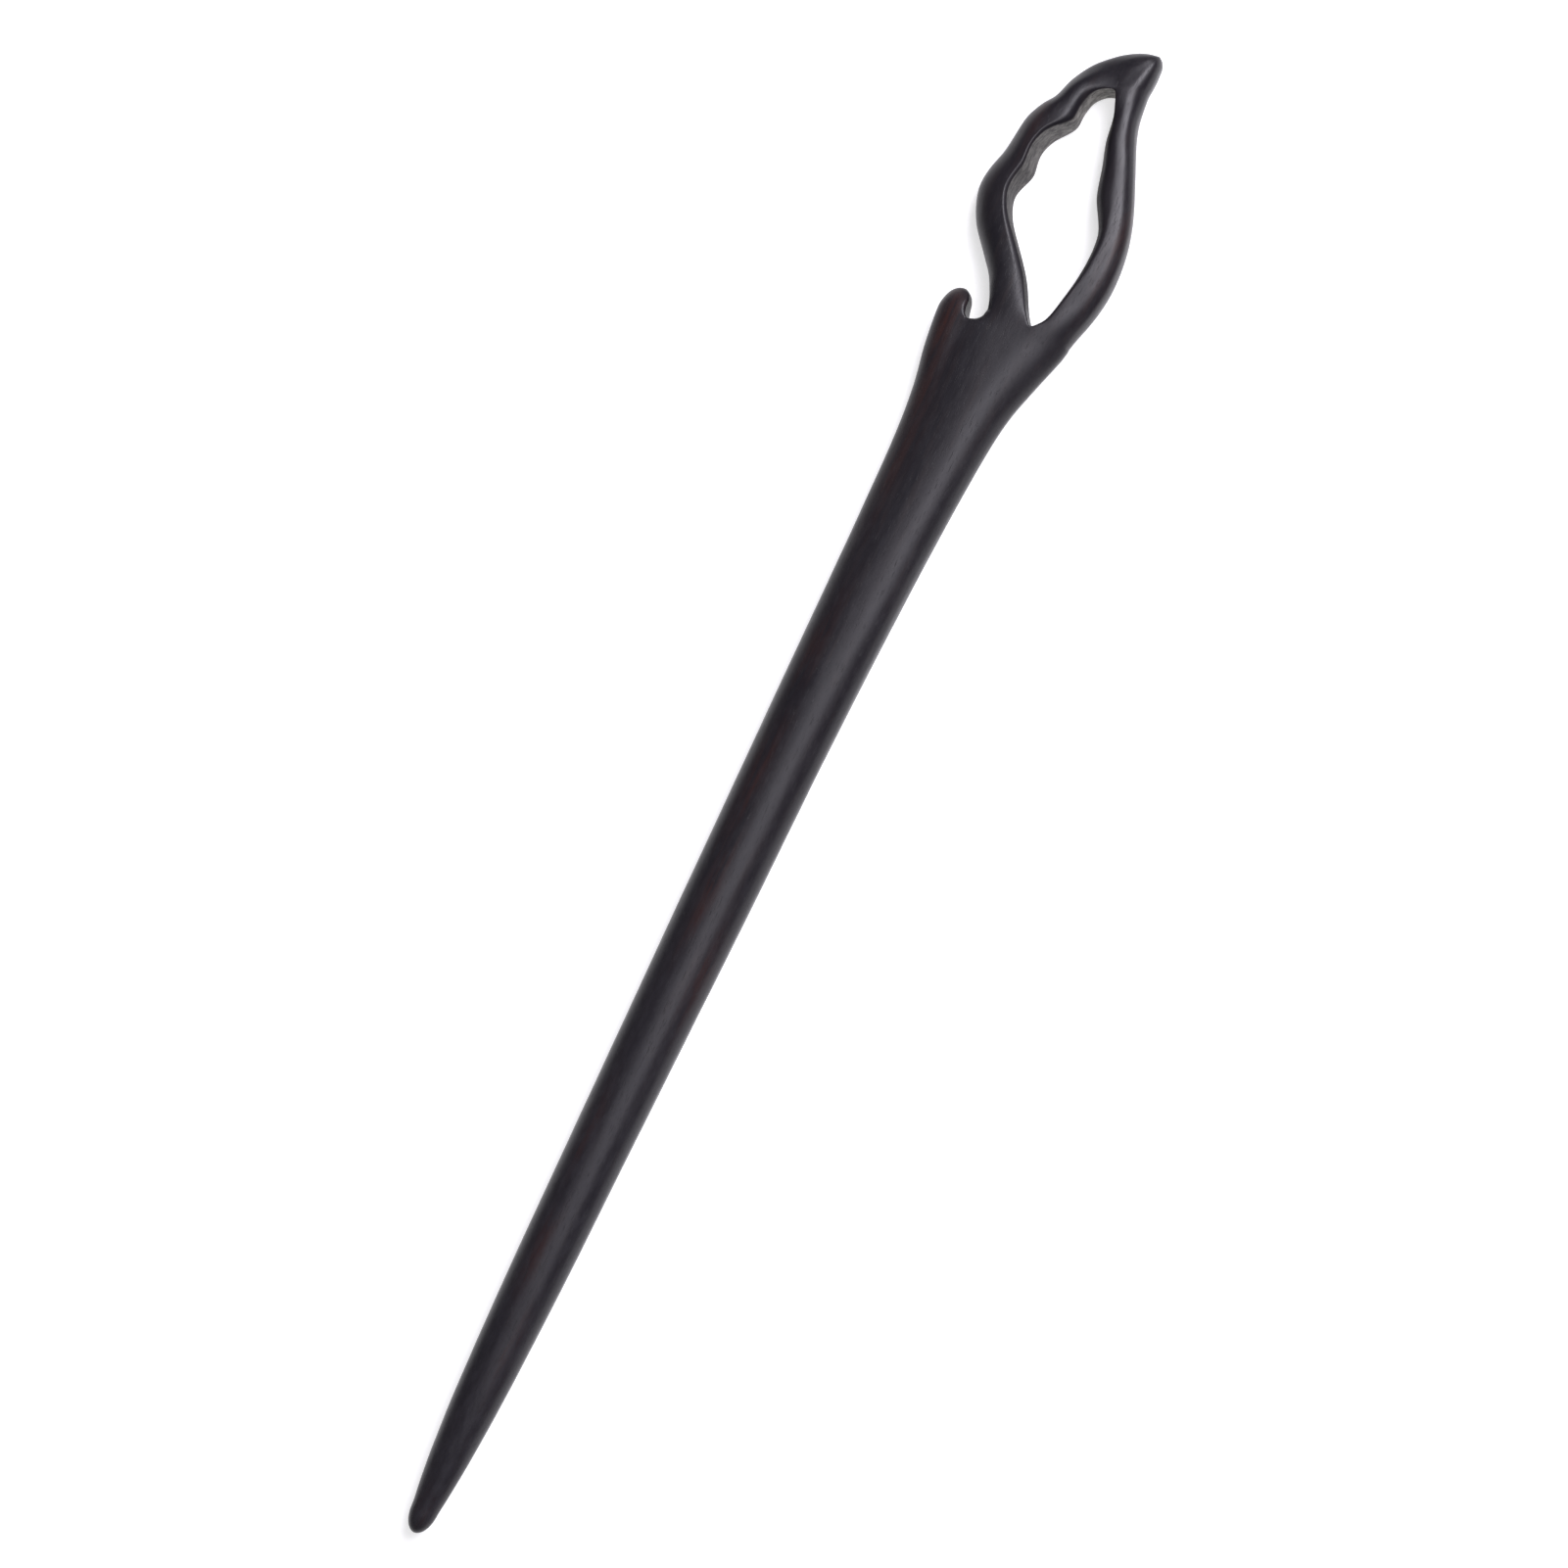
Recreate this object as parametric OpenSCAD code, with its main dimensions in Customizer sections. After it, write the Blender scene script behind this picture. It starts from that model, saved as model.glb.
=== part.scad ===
// Hair stick carved from one piece of dark wood. The stick lies on z = 0 along X, with its rounded
// tip at the low end and its pierced head at the high end, centred on its length and its width.
// Its shaft widens into a trunk, which forks into a small hook, a left strand and a right strand.
// The two strands run round an open hole and join again in a pointed end. The sections are worked
// out with the tip at x = 0 and the shaft's axis at y = 0, and the finished stick is then centred.

/* [Overall] */
// Length from the tip to the end of the head
total_l = 180; // [150:1:220]

/* [Shaft] */
// Width of the shaft just below the head
shaft_w = 8; // [6:0.1:10]
// Thickness of the shaft just below the head
shaft_t = 6.4; // [5:0.1:8]
// Width of the shaft where the rounding of its tip begins
tip_w = 3.1; // [2:0.1:5]
// Thickness of the shaft where the rounding of its tip begins
tip_t = 2.8; // [2:0.1:4.5]
// Length of the rounding at the tip
tip_l = 3; // [1.5:0.1:6]

/* [Head] */
// Thickness of the head where it forks
head_t = 5.8; // [4:0.1:7.5]
// Length of the solid end beyond the hole
end_l = 5.5; // [4:0.1:9]
// Width of the two strands
strand_w = 3.2; // [2.2:0.1:4.5]
// Width of the left strand at its root, between the notch and the hole
left_root_w = 5.2; // [4:0.1:6.5]
// Width of the right strand at its root, beside the foot of the hole
right_root_w = 4.7; // [3.6:0.1:6]

/* [Hole] */
// Length of the hole
hole_l = 27.4; // [22:0.2:36]
// Width of the hole
hole_w = 11; // [8:0.5:15]
// How far the foot of the hole lies from the axis, towards -Y
hole_off = 4; // [3:0.1:5]

/* [Hook] */
// How far the hook stands out past the foot of its notch
hook_l = 3.1; // [1.8:0.1:4]
// Width of the hook
hook_w = 3.2; // [2.4:0.1:4.5]
// Width of the notch between the hook and the left strand
notch_w = 2.1; // [1.2:0.1:3]
// How far the notch reaches back past the foot of the hole
notch_d = 1.9; // [1.2:0.1:3]
// Height of the rolled rim on the hook
rim_h = 0.25; // [0.1:0.05:1.5]
// Depth of the groove at the foot of the rolled rim
groove_d = 0.15; // [0.05:0.05:0.8]

/* [Hidden] */

WOOD = [0.14, 0.135, 0.15];

// Places along X
foot_x = total_l - end_l - hole_l;
notch_x = foot_x - notch_d;
// Places across, at the fork
root_y = left_root_w - hole_off;
hook_y = root_y + notch_w;
fork_left = hook_y + hook_w;
fork_right = hole_off + right_root_w;

// Faces across the hook, the left strand and the right strand
HOOK_N = 6;
LEFT_N = 5;
RIGHT_N = 9;
// Faces down a wall, and the angle at which a section turns from its face into a wall
WALL_N = 6;
CORNER = 45;
// Rings over which the sections of the hook, the fork and the strands part from those of the rings
// where they begin or end
HOOK_EASE = 8;
FORK_EASE = 7;
LEFT_EASE = 5;
RIGHT_EASE = 3;
// Steps between two rows of a table
TRUNK_STEPS = 3;
STRAND_STEPS = 2;
// Rings of the rounding at the tip
TIP_RINGS = 5;
// Across shares of the two marks on the plain shaft, which become the notch and the foot of the hole
SHAFT_MARKS = [0.21, 0.58];
// Depths of the points down the wall of a fork, as shares of its height
FORK_STEPS = [0.08, 0.2, 0.5, 0.8, 0.92];
// How much squarer the underside is than the face, and how much of the rim and falls it repeats
UNDER_SQUARE = 0.5;
UNDER_RELIEF = 0.6;
// How sharply a face bends down towards its left edge
FALL_BEND = 2.4;
// Least width of the face on either side of its ridge, as a share of its width
LEAST_SIDE = 0.01;

// The trunk, a row for each section from the tip to the notch. along is a share of its length,
// wide and thick lead from the tip's size to the shaft's, left and right from the shaft's edge to
// the fork's, head from the shaft's thickness to the head's, lift is a share of the thickness gained,
// crest is the place of the ridge across the section, and round_l and round_r say how square its
// two sides are, from 2 for an ellipse.
TRUNK = [
    //along, wide, thick, left, right, head, lift, crest, round_l, round_r
    [0.000, 0.00, 0.00, 0.00, 0.000, 0.00, 0.39, 0.50, 2.0, 2.0],
    [0.022, 0.15, 0.18, 0.00, 0.000, 0.00, 0.33, 0.50, 2.0, 2.0],
    [0.049, 0.29, 0.38, 0.00, 0.000, 0.00, 0.26, 0.50, 2.0, 2.0],
    [0.100, 0.46, 0.60, 0.00, 0.000, 0.00, 0.17, 0.50, 2.1, 2.1],
    [0.190, 0.62, 0.76, 0.00, 0.000, 0.00, 0.09, 0.50, 2.1, 2.1],
    [0.300, 0.72, 0.87, 0.00, 0.000, 0.00, 0.03, 0.50, 2.1, 2.1],
    [0.420, 0.82, 0.94, 0.00, 0.000, 0.00, 0.00, 0.50, 2.1, 2.1],
    [0.540, 0.91, 0.98, 0.00, 0.000, 0.00, 0.00, 0.50, 2.1, 2.1],
    [0.660, 0.99, 1.00, 0.01, 0.000, 0.00, 0.00, 0.50, 2.1, 2.2],
    [0.760, 1.00, 1.00, 0.06, 0.070, 0.05, 0.00, 0.53, 2.1, 2.5],
    [0.840, 1.00, 1.00, 0.14, 0.160, 0.30, 0.00, 0.59, 2.0, 2.3],
    [0.900, 1.00, 1.00, 0.25, 0.270, 0.60, 0.00, 0.62, 1.9, 2.2],
    [0.940, 1.00, 1.00, 0.47, 0.405, 0.80, 0.00, 0.64, 1.9, 2.1],
    [0.970, 1.00, 1.00, 0.79, 0.635, 0.93, 0.00, 0.65, 2.1, 2.1],
    [1.000, 1.00, 1.00, 1.00, 0.920, 1.00, 0.00, 0.65, 2.5, 2.1],
];

// The fork between the notch and the foot of the hole. along is a share of the notch's reach,
// edge a share of its width, right as in the trunk, crest the ridge's place, round_l and round_r
// the squareness of the sides, fall how far the face drops towards its left edge, in a curve, and
// drop how far it drops towards its right edge, in a straight slant.
FORK = [
    //along, edge, right, crest, round_l, round_r, fall, drop
    [0.00, 0.69, 0.920, 0.53, 9.0, 2.1, 0.12, 0.00],
    [0.17, 0.30, 0.940, 0.50, 8.5, 2.1, 0.09, 0.00],
    [0.45, 0.08, 0.965, 0.50, 8.0, 2.1, 0.07, 0.00],
    [0.75, 0.02, 0.985, 0.52, 7.0, 2.1, 0.06, 0.00],
    [1.00, 0.00, 1.000, 0.55, 6.0, 2.1, 0.05, 0.01],
];

// The hook past the foot of its notch. Its two edges are given by shares of its length and width,
// and thick by a share of its thickness at the notch.
HOOK = [
    //out_along, out_across, in_along, in_across, thick
    [0.00, 1.00, 0.00, -0.20, 1.00],
    [0.24, 0.98, 0.10, -0.08, 0.99],
    [0.45, 0.94, 0.26, -0.01, 0.95],
    [0.64, 0.88, 0.45, 0.02, 0.87],
    [0.81, 0.77, 0.66, 0.05, 0.74],
    [0.94, 0.61, 0.87, 0.15, 0.54],
];
HOOK_TIP = [1.00, 0.38];
// The hook's section: its ridge, round_l, round_r, fall, flare and drop
HOOK_SECTION = [0.93, 2.2, 5.0, 0, 0, 0];

// The left strand from the foot of the hole to its end. along and across place its inner edge, as
// shares of the hole's length and width from its foot, lean is the way from there to its outer
// edge, root and wide are shares of the root's and the strand's width, thick of the head's
// thickness, and flare of the strand's width, by which its underside reaches into the hole. The
// other columns are as in the fork.
LEFT = [
    //along, across, lean, root, wide, thick, crest, round_l, round_r, fall, flare, drop
    [0.000, 0.000, 90, 1.00, 0.00, 1.00, 1.00, 5.0, 5.0, 0.07, 0.00, 0.00],
    [0.064, 0.124, 94, 0.55, 0.46, 0.99, 0.88, 3.9, 6.0, 0.12, 0.00, 0.02],
    [0.182, 0.283, 108, 0.12, 1.08, 0.97, 0.68, 2.8, 6.0, 0.17, 0.02, 0.06],
    [0.288, 0.498, 125, 0.00, 1.20, 0.95, 0.76, 2.5, 6.0, 0.17, 0.03, 0.04],
    [0.376, 0.682, 124, 0.00, 1.19, 0.94, 0.88, 2.4, 6.0, 0.20, 0.05, 0.02],
    [0.460, 0.777, 109, 0.00, 1.15, 0.93, 0.94, 2.4, 7.0, 0.23, 0.10, 0.00],
    [0.525, 0.759, 95, 0.00, 1.14, 0.93, 0.94, 2.4, 8.0, 0.26, 0.20, 0.00],
    [0.584, 0.723, 84, 0.00, 1.07, 0.92, 0.94, 2.4, 8.0, 0.26, 0.28, 0.00],
    [0.664, 0.742, 81, 0.00, 0.91, 0.91, 0.93, 2.4, 8.0, 0.26, 0.23, 0.00],
    [0.745, 0.668, 79, 0.00, 1.07, 0.90, 0.80, 2.4, 6.0, 0.22, 0.20, 0.00],
    [0.814, 0.502, 79, 0.00, 1.35, 0.89, 0.56, 2.4, 3.2, 0.18, 0.09, 0.00],
    [0.872, 0.482, 80, 0.00, 1.11, 0.88, 0.50, 2.4, 2.8, 0.18, 0.06, 0.00],
    [0.938, 0.450, 74, 0.00, 1.02, 0.87, 0.54, 2.4, 2.8, 0.18, 0.09, 0.00],
    [0.985, 0.365, 55, 0.00, 1.06, 0.86, 0.72, 2.4, 3.6, 0.18, 0.09, 0.00],
    [1.000, 0.255, 37, 0.00, 1.26, 0.84, 1.00, 2.4, 5.0, 0.18, 0.00, 0.00],
];

// The right strand in the same way, with its inner edge on its left
RIGHT = [
    //along, across, lean, root, wide, thick, crest, round_l, round_r, fall, flare, drop
    [0.000, 0.000, -90, 1.00, 0.00, 1.00, 0.10, 9.0, 2.1, 0.00, 0.00, 0.01],
    [0.052, -0.112, -92, 0.40, 0.58, 0.99, 0.10, 8.2, 2.2, 0.00, 0.00, 0.02],
    [0.161, -0.173, -98, 0.00, 1.19, 0.97, 0.14, 6.0, 2.7, 0.00, 0.00, 0.07],
    [0.259, -0.208, -95, 0.00, 1.20, 0.96, 0.20, 4.0, 3.1, 0.00, 0.00, 0.11],
    [0.361, -0.217, -88, 0.00, 1.15, 0.95, 0.25, 3.0, 3.5, 0.00, 0.00, 0.14],
    [0.456, -0.185, -78, 0.00, 1.12, 0.94, 0.32, 2.4, 3.3, 0.00, 0.00, 0.12],
    [0.530, -0.090, -69, 0.00, 1.24, 0.93, 0.40, 2.3, 3.1, 0.00, 0.00, 0.10],
    [0.595, -0.004, -65, 0.00, 1.30, 0.92, 0.45, 2.2, 3.0, 0.00, 0.00, 0.08],
    [0.700, 0.067, -64, 0.00, 1.16, 0.91, 0.46, 2.2, 2.8, 0.00, 0.00, 0.06],
    [0.808, 0.145, -70, 0.00, 1.03, 0.90, 0.40, 2.4, 2.6, 0.00, 0.00, 0.04],
    [0.908, 0.181, -75, 0.00, 0.89, 0.87, 0.36, 3.0, 2.5, 0.00, 0.00, 0.02],
    [1.000, 0.255, -70, 0.00, 1.07, 0.84, 0.26, 5.0, 2.4, 0.00, 0.00, 0.00],
];

// The pointed end beyond the hole. Each row leads the three lines along it, its left edge, its
// middle line and its right edge, from where the strands join to the point, by shares of that way.
// bow_l and bow_r bow the edges outwards, over is how far the ridge lies past the middle line
// across the section, and low and high are shares of the head's thickness.
END = [
    //left, bow_l, middle, right, bow_r, over, low, high
    [0.00, 0.00, 0.00, 0.00, 0.00, 0.12, 0.00, 0.84],
    [0.21, 0.06, 0.32, 0.23, 0.05, 0.09, 0.00, 0.82],
    [0.40, 0.09, 0.56, 0.44, 0.09, 0.06, 0.01, 0.79],
    [0.57, 0.10, 0.74, 0.62, 0.11, 0.03, 0.03, 0.75],
    [0.72, 0.09, 0.87, 0.76, 0.12, 0.01, 0.07, 0.69],
    [0.84, 0.06, 0.96, 0.87, 0.10, 0.00, 0.13, 0.61],
    [0.92, 0.02, 1.00, 0.94, 0.07, 0.00, 0.20, 0.53],
];
// The section of the pointed end: its round_l, round_r, fall, flare and drop
END_SECTION = [2.4, 2.4, 0.18, 0, 0];
// Place of the point across the hole's width, and its height as a share of the head's thickness
POINT_ACROSS = 0.03;
POINT_HIGH = 0.36;

function mix(a, b, t) = a + (b - a) * t;
function part(list, first, last) = [for (i = [first:last]) list[i]];
function back(list) = [for (i = [len(list) - 1:-1:0]) list[i]];

// Smooth curve through the rows of a table, at a place counted in rows
function smooth(rows, place) =
    let(
        last = len(rows) - 1,
        i = min(floor(place), last - 1),
        t = place - i,
        p1 = rows[i],
        p2 = rows[i + 1],
        p0 = i > 0 ? rows[i - 1] : 2 * p1 - p2,
        p3 = i + 2 > last ? 2 * p2 - p1 : rows[i + 2]
    )
    p1 + t * 0.5 * (p2 - p0 + t * (2 * p0 - 5 * p1 + 4 * p2 - p3 + t * (3 * (p1 - p2) + p3 - p0)));

// Point of a section at a turn from 0 at its left edge, over its ridge at 90, to 180 at its right edge:
// its across share and its height share
function arc(turn, crest, round_l, round_r) =
    turn < 90
        ? [crest - crest * pow(cos(turn), 2 / round_l), pow(sin(turn), 2 / round_l)]
        : [crest + (1 - crest) * pow(-cos(turn), 2 / round_r), pow(sin(turn), 2 / round_r)];

// The turn at which a section reaches an across share
function turn_at(across, crest, round_l, round_r) =
    across < crest
        ? acos(pow((crest - across) / crest, round_l / 2))
        : 180 - acos(pow((across - crest) / (1 - crest), round_r / 2));

// The turn at a share of the way between two cuts. The squarer the section is there, the more evenly
// its points are spread across it, and the less evenly they are spread over the turn.
function turn_between(a, b, share, crest, round_l, round_r) =
    let(
        by_turn = arc(mix(a, b, share), crest, round_l, round_r)[0],
        from = arc(a, crest, round_l, round_r)[0],
        to = arc(b, crest, round_l, round_r)[0],
        even = 1 - 4 / ((a < 90 ? round_l : round_r) + (b < 90 ? round_l : round_r))
    )
    share == 0 ? a : turn_at(mix(by_turn, mix(from, to, share), even), crest, round_l, round_r);

// Turns of the points over a face, with a number of steps from each cut to the next
function turns(cuts, steps, crest, round_l, round_r) =
    concat(
        [
            for (i = [0:len(steps) - 1])
                for (k = [0:steps[i] - 1])
                    turn_between(cuts[i], cuts[i + 1], k / steps[i], crest, round_l, round_r)
        ],
        [cuts[len(steps)]]
    );

// Point of a ring. line is its rung, from the left edge over a middle point to the right edge, with
// the middle's across share, and shape is its section: low, high, crest, round_l, round_r, fall,
// flare and drop. side is 1 on the face and -1 on the underside.
function spot(line, shape, turn, side) =
    let(
        square = side > 0 ? 0 : UNDER_SQUARE,
        relief = side > 0 ? 1 : UNDER_RELIEF,
        p = arc(turn, shape[2], shape[3] + square, shape[4] + square),
        down = max(0, shape[2] - p[0]) / max(shape[2], LEAST_SIDE),
        out = max(0, p[0] - shape[2]) / max(1 - shape[2], LEAST_SIDE),
        height = side * p[1] * (1 - relief * (shape[5] * pow(down, FALL_BEND) + shape[7] * out)),
        across = p[0] - shape[6] * height * p[0] * p[0] / 2,
        m = line[3],
        plan = across < m
            ? mix(line[0], line[1], across / m)
            : mix(line[1], line[2], (across - m) / (1 - m))
    )
    [plan[0], plan[1], mix(shape[0], shape[1], 0.5 + height / 2)];

// Points over a face or an underside, with the marks on their across shares. corners are the angles
// at which it turns into its left and right walls, or 0 where it has an edge and no wall.
function face(line, shape, marks, steps, corners, side) =
    let(
        square = side > 0 ? 0 : UNDER_SQUARE,
        round_l = shape[3] + square,
        round_r = shape[4] + square,
        inner = [for (m = marks) turn_at(m, shape[2], round_l, round_r)],
        cuts = concat([corners[0]], inner, [180 - corners[1]])
    )
    [for (turn = turns(cuts, steps, shape[2], round_l, round_r)) spot(line, shape, turn, side)];

// Points down a wall, between its two corners
function wall(line, shape, corner, left) =
    [
        for (k = [1:WALL_N - 1])
            let(turn = mix(corner, -corner, k / WALL_N))
            spot(line, shape, left ? abs(turn) : 180 - abs(turn), turn < 0 ? -1 : 1)
    ];

// A ring is its face and its underside, from left to right, and its two walls, from the top down
function ring(line, shape, marks, steps, corners) =
    [
        face(line, shape, marks, steps, corners, 1),
        face(line, shape, marks, steps, corners, -1),
        corners[0] > 0 ? wall(line, shape, corners[0], true) : [],
        corners[1] > 0 ? wall(line, shape, corners[1], false) : []
    ];

// The wall of a fork, straight down from one point of the face
function fork_wall(r, i) = [for (s = FORK_STEPS) mix(r[0][i], r[1][i], s)];

// Across share of a point between the two ends of a rung
function across_share(p, ends) =
    let(way = ends[1] - ends[0])
    ([p[0], p[1]] - ends[0]) * way / (way * way);

// A ring whose section is led over by a share from that of the ring where its limb begins or ends,
// so that the limbs part and meet without a step. Both rings have the two ends of their rung.
function led(r, ends, root, root_ends, share) =
    [
        for (j = [0:3])
            [
                for (i = [0:1:len(r[j]) - 1])
                    let(
                        u = mix(across_share(root[j][i], root_ends), across_share(r[j][i], ends), share),
                        plan = mix(ends[0], ends[1], u)
                    )
                    [plan[0], plan[1], mix(root[j][i][2], r[j][i][2], share)]
            ]
    ];

// How far a section has been led over, a number of rings away from a fork
function ease(k, rings) = let(t = min(1, k / rings)) t * t * (3 - 2 * t);

// The points of a ring in order round it
function loop(r) =
    let(
        last = len(r[0]) - 1,
        from = len(r[2]) > 0 ? 0 : 1,
        to = len(r[3]) > 0 ? last : last - 1
    )
    concat(r[0], r[3], back(part(r[1], from, to)), back(r[2]));

// The parts of a ring on the left and on the right of one of its marks
function left_of(r, i) = [part(r[0], 0, i), part(r[1], 0, i), r[2], fork_wall(r, i)];
function right_of(r, i) =
    [part(r[0], i, len(r[0]) - 1), part(r[1], i, len(r[1]) - 1), fork_wall(r, i), r[3]];

// The ring that two such parts make, with their shared mark once
function joined(left, right) =
    [
        for (j = [0:1]) concat(left[j], part(right[j], 1, len(right[j]) - 1)),
        left[2],
        right[3]
    ];

function straight(a, b) = [a, (a + b) / 2, b, 0.5];

// Rings of the trunk. The marks on the plain shaft run along it and reach the notch and the foot of
// the hole at the notch, where the trunk has its full width.
notch_wide = fork_left + mix(shaft_w / 2, fork_right, TRUNK[len(TRUNK) - 1][4]);
notch_foot_y = mix(root_y, hook_y, FORK[0][1]);
notch_marks = [fork_left - notch_foot_y, fork_left + hole_off] / notch_wide;

function trunk_sizes(row) =
    let(
        half = mix(tip_w, shaft_w, row[1]) / 2,
        thick = mix(mix(tip_t, shaft_t, row[2]), head_t, row[5]),
        low = row[6] * (shaft_t - tip_t)
    )
    [
        mix(tip_l, notch_x, row[0]),
        half + row[3] * (fork_left - shaft_w / 2),
        -half - row[4] * (fork_right - shaft_w / 2),
        low,
        low + thick
    ];

function trunk_ring(row, size) =
    let(
        s = trunk_sizes(row),
        z = (s[3] + s[4]) / 2,
        y = (s[1] + s[2]) / 2,
        x = s[0] - tip_l * sqrt(1 - size * size),
        line = straight([x, mix(y, s[1], size)], [x, mix(y, s[2], size)]),
        shape = [mix(z, s[3], size), mix(z, s[4], size), row[7], row[8], row[9], 0, 0, 0],
        marks = mix(SHAFT_MARKS, notch_marks, row[5])
    )
    rimmed(ring(line, shape, marks, [HOOK_N, LEFT_N, RIGHT_N], [0, 0]), row[3] * row[5]);

// The rolled rim and its groove, raised on a ring of the trunk
function rim_lift(i) = i < HOOK_N ? rim_h * sin(180 * i / HOOK_N) : i == HOOK_N ? -groove_d : 0;
function rimmed(r, grow) =
    [
        [for (i = [0:len(r[0]) - 1]) r[0][i] + [0, 0, grow * rim_lift(i)]],
        [for (i = [0:len(r[1]) - 1]) r[1][i] - [0, 0, grow * UNDER_RELIEF * rim_lift(i)]],
        r[2],
        r[3]
    ];

trunk_last = (len(TRUNK) - 1) * TRUNK_STEPS;
tip_rings = [for (k = [1:TIP_RINGS - 1]) trunk_ring(TRUNK[0], sin(90 * k / TIP_RINGS))];
trunk_rings = [for (k = [0:trunk_last]) trunk_ring(smooth(TRUNK, k / TRUNK_STEPS), 1)];
notch_ring = trunk_rings[trunk_last];
tip_point = [0, 0, trunk_sizes(TRUNK[0])[3] + tip_t / 2];

// Rings of the hook
hook_high = max([for (p = part(notch_ring[0], 0, HOOK_N)) p[2]]);
hook_low = min([for (p = part(notch_ring[1], 0, HOOK_N)) p[2]]);

function hook_spot(along, across) = [notch_x + hook_l * along, hook_y + hook_w * across];

function hook_rung(row) = [hook_spot(row[0], row[1]), hook_spot(row[2], row[3])];

function hook_ring(row) =
    let(
        middle = (hook_low + hook_high) / 2,
        half = (hook_high - hook_low) / 2 * row[4],
        rung = hook_rung(row),
        shape = concat([middle - half, middle + half], HOOK_SECTION)
    )
    ring(straight(rung[0], rung[1]), shape, [], [HOOK_N], [0, CORNER]);

function hook_led(row, k) =
    led(hook_ring(row), hook_rung(row), hook_root, hook_root_rung, ease(k, HOOK_EASE));

hook_root = left_of(notch_ring, HOOK_N);
hook_root_rung = [[notch_x, fork_left], [notch_x, notch_foot_y]];
hook_last = (len(HOOK) - 1) * STRAND_STEPS;
hook_rings = [for (k = [1:hook_last]) hook_led(smooth(HOOK, k / STRAND_STEPS), k)];
hook_point = concat(hook_spot(HOOK_TIP[0], HOOK_TIP[1]), [(hook_low + hook_high) / 2]);

// Rings of the fork
function fork_rung(row) =
    let(x = mix(notch_x, foot_x, row[0]))
    [[x, mix(root_y, hook_y, row[1])], [x, -mix(shaft_w / 2, fork_right, row[2])]];

function fork_mark(rung) = [rung[0][0], -hole_off];

function fork_ring(row) =
    let(
        rung = fork_rung(row),
        mark = across_share(fork_mark(rung), rung),
        shape = [0, head_t, row[3], row[4], row[5], row[6], 0, row[7]]
    )
    ring(straight(rung[0], rung[1]), shape, [mark], [LEFT_N, RIGHT_N], [CORNER, 0]);

// The two parts of a ring beside the mark are led over by themselves, so that the one on the right
// doesn't follow the notch
function fork_led(row, k) =
    let(
        r = fork_ring(row),
        rung = fork_rung(row),
        mark = fork_mark(rung),
        root_rung = fork_rung(FORK[0]),
        root_mark = fork_mark(root_rung),
        share = ease(k, FORK_EASE),
        root_left = left_of(fork_root, LEFT_N),
        root_right = right_of(fork_root, LEFT_N)
    )
    joined(
        led(left_of(r, LEFT_N), [rung[0], mark], root_left, [root_rung[0], root_mark], share),
        led(right_of(r, LEFT_N), [mark, rung[1]], root_right, [root_mark, root_rung[1]], share)
    );

fork_root = right_of(notch_ring, HOOK_N);
fork_last = (len(FORK) - 1) * STRAND_STEPS;
fork_rings = [for (k = [1:fork_last]) fork_led(smooth(FORK, k / STRAND_STEPS), k)];
foot_ring = fork_rings[fork_last - 1];

// Rungs and rings of the strands
function hole_spot(along, across) = [foot_x + hole_l * along, -hole_off + hole_w * across];

function strand_rung(row, root_w) =
    let(
        inner = hole_spot(row[0], row[1]),
        wide = root_w * row[3] + strand_w * row[4]
    )
    [inner, inner + wide * [cos(row[2]), sin(row[2])]];

function strand_shape(row) =
    [0, head_t * row[5], row[6], row[7], row[8], row[9], row[10], row[11]];

function strand_last(table) = (len(table) - 1) * STRAND_STEPS;

function left_ring(row) =
    let(rung = strand_rung(row, left_root_w))
    ring(straight(rung[1], rung[0]), strand_shape(row), [], [LEFT_N], [CORNER, CORNER]);

function right_ring(row) =
    let(rung = strand_rung(row, right_root_w))
    ring(straight(rung[0], rung[1]), strand_shape(row), [], [RIGHT_N], [CORNER, 0]);

// Rings of the pointed end
join_left = strand_rung(LEFT[len(LEFT) - 1], left_root_w);
join_right = strand_rung(RIGHT[len(RIGHT) - 1], right_root_w);
point = [total_l, -hole_off + hole_w * POINT_ACROSS];

// A point on the way to the pointed end, bowed to the left of that way
function end_spot(from, share, bow) =
    let(way = point - from)
    from + share * way + bow * [-way[1], way[0]];

function end_ring(row) =
    let(
        left = end_spot(join_left[1], row[0], row[1]),
        middle = end_spot(join_left[0], row[2], 0),
        right = end_spot(join_right[1], row[3], -row[4]),
        share = norm(left - middle) / (norm(left - middle) + norm(middle - right)),
        shape = concat([head_t * row[6], head_t * row[7], share + row[5]], END_SECTION)
    )
    ring([left, middle, right, share], shape, [share], [LEFT_N, RIGHT_N], [CORNER, 0]);

end_last = (len(END) - 1) * STRAND_STEPS;
end_rings = [for (k = [0:end_last]) end_ring(smooth(END, k / STRAND_STEPS))];
join_ring = end_rings[0];
end_point = concat(point, [head_t * POINT_HIGH]);

// Rings of the strands, led over at both ends. roots holds the rings where the strand begins and
// ends, and each one's rung.
function strand_led(r, rung, roots, k, last, rings) =
    k <= last / 2
        ? led(r, rung, roots[0], roots[1], ease(k, rings))
        : led(r, rung, roots[2], roots[3], ease(last - k, rings));

foot_rung = fork_rung(FORK[len(FORK) - 1]);
left_roots = [
    left_of(foot_ring, LEFT_N),
    [foot_rung[0], hole_spot(0, 0)],
    left_of(join_ring, LEFT_N),
    back(join_left)
];
right_roots = [
    right_of(foot_ring, LEFT_N),
    [hole_spot(0, 0), foot_rung[1]],
    right_of(join_ring, LEFT_N),
    join_right
];

function left_led(row, k) =
    let(rung = strand_rung(row, left_root_w))
    strand_led(left_ring(row), back(rung), left_roots, k, strand_last(LEFT), LEFT_EASE);

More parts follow.
